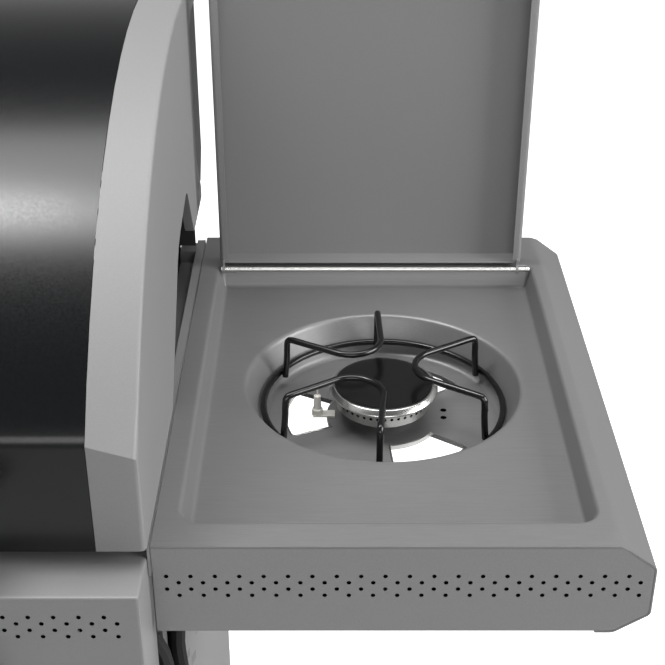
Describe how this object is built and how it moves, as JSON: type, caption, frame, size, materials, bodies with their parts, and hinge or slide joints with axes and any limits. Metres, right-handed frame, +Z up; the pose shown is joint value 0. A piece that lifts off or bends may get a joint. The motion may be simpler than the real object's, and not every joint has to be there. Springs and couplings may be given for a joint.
{
  "type": "gas barbecue grill",
  "caption": "Cart gas barbecue with a curved hood on a hinge, cabinet with doors, two side shelves and a sunken side burner under a hinged lid.",
  "frame": {"origin": "on the floor below the middle of the whole grill", "axes": "+Z up, +Y to the back, +X to the side burner's end; the user stands at -Y"},
  "size_m": [1.39, 0.6178, 1.2887],
  "materials": {
    "black_enamel": "gloss vitreous enamel",
    "silver_coat": "satin silver powder coat",
    "stainless_steel": "fine satin brushed",
    "cast_iron": "seasoned matt",
    "dark_coat": "matt dark grey powder coat",
    "aluminium": "as cast, satin",
    "chrome": "plated",
    "grey_plastic": "moulded satin",
    "rubber": "matt",
    "ceramic": "glazed white"
  },
  "bodies": {
    "frame": {"firebox": "black_enamel", "control_panel": "silver_coat", "shelf_left_fascia": "silver_coat", "shelf_right_fascia": "silver_coat", "bottom_shelf": "silver_coat", "side_panel_left": "silver_coat", "side_panel_right": "silver_coat", "back_panel": "silver_coat", "shelf_right_tray": "stainless_steel", "shelf_left_tray": "stainless_steel", "burner_1": "stainless_steel", "burner_2": "stainless_steel", "burner_3": "stainless_steel", "flame_tamer_1": "stainless_steel", "flame_tamer_2": "stainless_steel", "flame_tamer_3": "stainless_steel", "side_lid_rod": "stainless_steel", "firebox_end_panel_left": "dark_coat", "firebox_end_panel_right": "dark_coat", "leg_frame_left": "silver_coat", "leg_frame_right": "silver_coat", "gas_manifold": "aluminium", "side_burner_base": "aluminium", "side_burner_port_ring": "aluminium", "warming_rack": "chrome", "side_burner_hose": "rubber", "igniter_electrode": "ceramic"},
    "hood": {"hood_skin": "black_enamel", "hood_end_cap_left": "silver_coat", "hood_end_cap_right": "silver_coat", "hood_back_panel": "dark_coat", "handle_bar": "stainless_steel", "handle_bracket_left": "chrome", "handle_bracket_right": "chrome", "thermometer_case": "chrome"},
    "needle": {"thermometer_needle": "rubber"},
    "burner_lid": {"side_lid": "silver_coat"},
    "knob_1_body": {"knob_1": "grey_plastic"},
    "knob_2_body": {"knob_2": "grey_plastic"},
    "knob_3_body": {"knob_3": "grey_plastic"},
    "knob_side_burner_body": {"knob_side_burner": "grey_plastic"},
    "ignition_button_body": {"ignition_button": "grey_plastic"},
    "left_door": {"door_left": "silver_coat", "door_handle_left": "stainless_steel"},
    "right_door": {"door_right": "silver_coat", "door_handle_right": "stainless_steel"},
    "grease_drawer": {"grease_tray": "aluminium"},
    "left_grate": {"grate_left": "cast_iron"},
    "right_grate": {"grate_right": "cast_iron"},
    "support": {"pan_support": "black_enamel"},
    "cap": {"side_burner_cap": "black_enamel"},
    "caster_1": {"caster_fork_1": "chrome"},
    "wheel_1": {"caster_wheel_1": "rubber"},
    "caster_2": {"caster_fork_2": "chrome"},
    "wheel_2": {"caster_wheel_2": "rubber"},
    "caster_3": {"caster_fork_3": "chrome"},
    "wheel_3": {"caster_wheel_3": "rubber"},
    "caster_4": {"caster_fork_4": "chrome"},
    "wheel_4": {"caster_wheel_4": "rubber"}
  },
  "joints": [
    {"name": "hood_hinge", "type": "hinge", "parent": "frame", "child": "hood", "pos_m": [0, 0.2419, 0.955], "axis": [-1, 0, 0], "range_deg": [0, 85]},
    {"name": "thermometer", "type": "hinge", "parent": "hood", "child": "needle", "pos_m": [0, -0.1761, 1.04352], "axis": [0, 0.6555, -0.7552], "range_deg": [0, 250], "stiffness_Nm_per_rad": 0.0002},
    {"name": "side_lid_hinge", "type": "hinge", "parent": "frame", "child": "burner_lid", "pos_m": [0.3413, 0.2059, 0.8793], "axis": [1, 0, 0], "range_deg": [0, 90]},
    {"name": "knob_1_turn", "type": "hinge", "parent": "frame", "child": "knob_1_body", "pos_m": [-0.195, -0.2809, 0.792], "axis": [0, -1, 0], "range_deg": [0, 270]},
    {"name": "knob_2_turn", "type": "hinge", "parent": "frame", "child": "knob_2_body", "pos_m": [-0.065, -0.2809, 0.792], "axis": [0, -1, 0], "range_deg": [0, 270]},
    {"name": "knob_3_turn", "type": "hinge", "parent": "frame", "child": "knob_3_body", "pos_m": [0.065, -0.2809, 0.792], "axis": [0, -1, 0], "range_deg": [0, 270]},
    {"name": "knob_side_burner_turn", "type": "hinge", "parent": "frame", "child": "knob_side_burner_body", "pos_m": [0.195, -0.2809, 0.792], "axis": [0, -1, 0], "range_deg": [0, 270]},
    {"name": "ignition_press", "type": "slide", "parent": "frame", "child": "ignition_button_body", "axis": [0, 1, 0], "range_m": [0, 0.004], "stiffness_N_per_m": 400},
    {"name": "door_left_hinge", "type": "hinge", "parent": "frame", "child": "left_door", "pos_m": [-0.318, -0.2181, 0.085], "axis": [0, 0, -1], "range_deg": [0, 110]},
    {"name": "door_right_hinge", "type": "hinge", "parent": "frame", "child": "right_door", "pos_m": [0.318, -0.2181, 0.085], "axis": [0, 0, 1], "range_deg": [0, 110]},
    {"name": "grease_tray_slide", "type": "slide", "parent": "frame", "child": "grease_drawer", "axis": [0, 1, 0], "range_m": [0, 0.35]},
    {"name": "grate_left_lift", "type": "slide", "parent": "frame", "child": "left_grate", "axis": [0, 0, 1], "range_m": [0, 0.05]},
    {"name": "grate_right_lift", "type": "slide", "parent": "frame", "child": "right_grate", "axis": [0, 0, 1], "range_m": [0, 0.05]},
    {"name": "pan_support_lift", "type": "slide", "parent": "frame", "child": "support", "axis": [0, 0, 1], "range_m": [0, 0.08]},
    {"name": "burner_cap_lift", "type": "slide", "parent": "frame", "child": "cap", "axis": [0, 0, 1], "range_m": [0, 0.004]},
    {"name": "caster_1_swivel", "type": "hinge", "parent": "frame", "child": "caster_1", "pos_m": [-0.275, -0.1661, 0.085], "axis": [0, 0, 1], "continuous": true},
    {"name": "wheel_1_spin", "type": "hinge", "parent": "caster_1", "child": "wheel_1", "pos_m": [-0.275, -0.1461, 0.035], "axis": [1, 0, 0], "continuous": true},
    {"name": "caster_2_swivel", "type": "hinge", "parent": "frame", "child": "caster_2", "pos_m": [0.275, -0.1661, 0.085], "axis": [0, 0, 1], "continuous": true},
    {"name": "wheel_2_spin", "type": "hinge", "parent": "caster_2", "child": "wheel_2", "pos_m": [0.275, -0.1461, 0.035], "axis": [1, 0, 0], "continuous": true},
    {"name": "caster_3_swivel", "type": "hinge", "parent": "frame", "child": "caster_3", "pos_m": [-0.275, 0.2439, 0.085], "axis": [0, 0, 1], "continuous": true},
    {"name": "wheel_3_spin", "type": "hinge", "parent": "caster_3", "child": "wheel_3", "pos_m": [-0.275, 0.2639, 0.035], "axis": [1, 0, 0], "continuous": true},
    {"name": "caster_4_swivel", "type": "hinge", "parent": "frame", "child": "caster_4", "pos_m": [0.275, 0.2439, 0.085], "axis": [0, 0, 1], "continuous": true},
    {"name": "wheel_4_spin", "type": "hinge", "parent": "caster_4", "child": "wheel_4", "pos_m": [0.275, 0.2639, 0.035], "axis": [1, 0, 0], "continuous": true}
  ]
}
